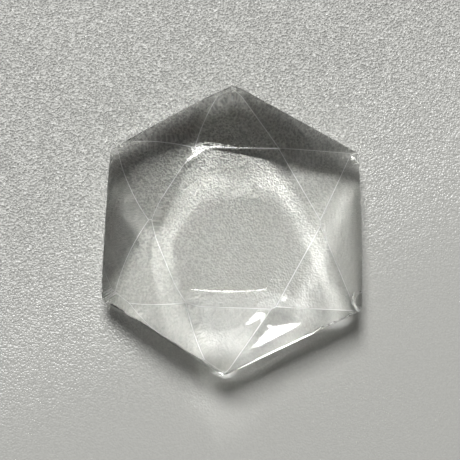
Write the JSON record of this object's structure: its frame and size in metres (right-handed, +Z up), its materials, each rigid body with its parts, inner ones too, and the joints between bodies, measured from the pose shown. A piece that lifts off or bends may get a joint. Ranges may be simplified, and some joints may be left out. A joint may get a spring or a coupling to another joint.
{
  "type": "polished quartz hexagram stone",
  "caption": "Clear quartz stone, cut and polished on both sides as a flat six-pointed star with a six-sided outline and a six-sided table.",
  "frame": {"origin": "on the surface that the stone rests on, below the middle of its outline", "axes": "+Z up through the tables, +Y towards the outline's top corner along its longest extent, +X to the right"},
  "size_m": [0.0304, 0.0344, 0.0071],
  "materials": {
    "clear_quartz": "hand-polished clear quartz, see-through, index of refraction 1.544"
  },
  "bodies": {
    "root": {"crystal": "clear_quartz"}
  },
  "joints": []
}
